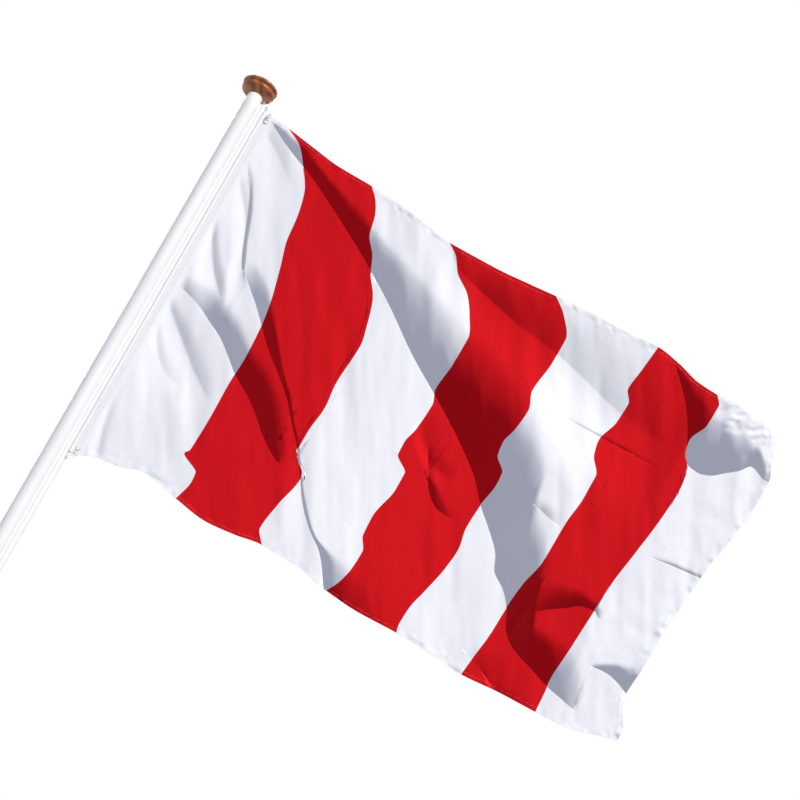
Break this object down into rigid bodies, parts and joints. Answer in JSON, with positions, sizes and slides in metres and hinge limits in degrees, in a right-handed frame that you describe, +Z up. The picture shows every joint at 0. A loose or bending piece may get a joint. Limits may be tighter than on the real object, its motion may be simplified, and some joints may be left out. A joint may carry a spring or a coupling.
{
  "type": "flag on pole",
  "caption": "Striped rectangular flag flying from a round wooden pole with a turned knob, sheave, halyard, snap hooks and cleat.",
  "frame": {"origin": "centre of the flat butt end of the pole", "axes": "+Z up the pole towards the knob, +X from the pole towards the fly edge of the flag, +Y across the cloth"},
  "size_m": [1.474, 0.1243, 2.0404],
  "materials": {
    "pole_lacquer": "cream white satin lacquer over wood",
    "stained_wood": "stained and varnished",
    "beech": "bare wood",
    "white_nylon": "moulded",
    "brass": "drawn rod",
    "cord_fibre": "braided cord",
    "heading_tape": "coarse woven tape",
    "white_cloth": "plain weave polyester",
    "red_cloth": "plain weave polyester",
    "nickel_plate": "nickel plated"
  },
  "bodies": {
    "pole": {"pole": "pole_lacquer", "knob": "stained_wood", "knob_dowel": "beech", "sheave_pin": "brass", "halyard": "cord_fibre", "halyard_end_knot": "cord_fibre", "cleat": "nickel_plate", "cleat_screw_upper": "nickel_plate", "cleat_screw_lower": "nickel_plate"},
    "sheave": {"sheave": "white_nylon"},
    "hoist_line": {"line_stop_top": "cord_fibre", "line_stop_bottom": "cord_fibre"},
    "flag": {"flag_heading": "heading_tape", "grommet_top": "nickel_plate", "grommet_bottom": "nickel_plate", "stripe_1_white": "white_cloth", "stripe_2_red": "red_cloth", "stripe_3_white": "white_cloth", "stripe_4_red": "red_cloth", "stripe_5_white": "white_cloth", "stripe_6_red": "red_cloth", "stripe_7_white": "white_cloth", "fly_hem": "white_cloth", "snap_hook_top": "nickel_plate", "snap_hook_bottom": "nickel_plate", "gate_pin_top": "nickel_plate", "gate_pin_bottom": "nickel_plate"},
    "gate_top": {"gate_top": "nickel_plate"},
    "gate_bottom": {"gate_bottom": "nickel_plate"}
  },
  "joints": [
    {"name": "hoist", "type": "slide", "parent": "pole", "child": "hoist_line", "axis": [0, 0, 1], "range_m": [-0.55, 0]},
    {"name": "sheave_turn", "type": "hinge", "parent": "pole", "child": "sheave", "pos_m": [0.0305, 0, 2.012], "axis": [0, 1, 0], "range_deg": [0, 5730]},
    {"name": "flag_swing", "type": "hinge", "parent": "hoist_line", "child": "flag", "pos_m": [0.036, 0, 1.474], "axis": [0, 0, 1], "range_deg": [-90, 90]},
    {"name": "gate_top_open", "type": "hinge", "parent": "flag", "child": "gate_top", "pos_m": [0.05, -0.0078, 1.971], "axis": [1, 0, 0], "range_deg": [0, 20], "stiffness_Nm_per_rad": 0.002},
    {"name": "gate_bottom_open", "type": "hinge", "parent": "flag", "child": "gate_bottom", "pos_m": [0.05, -0.0078, 0.977], "axis": [-1, 0, 0], "range_deg": [0, 20], "stiffness_Nm_per_rad": 0.002}
  ],
  "couplings": [
    {"joint": "sheave_turn", "follows": "hoist", "rad_per_m": -181.82}
  ]
}
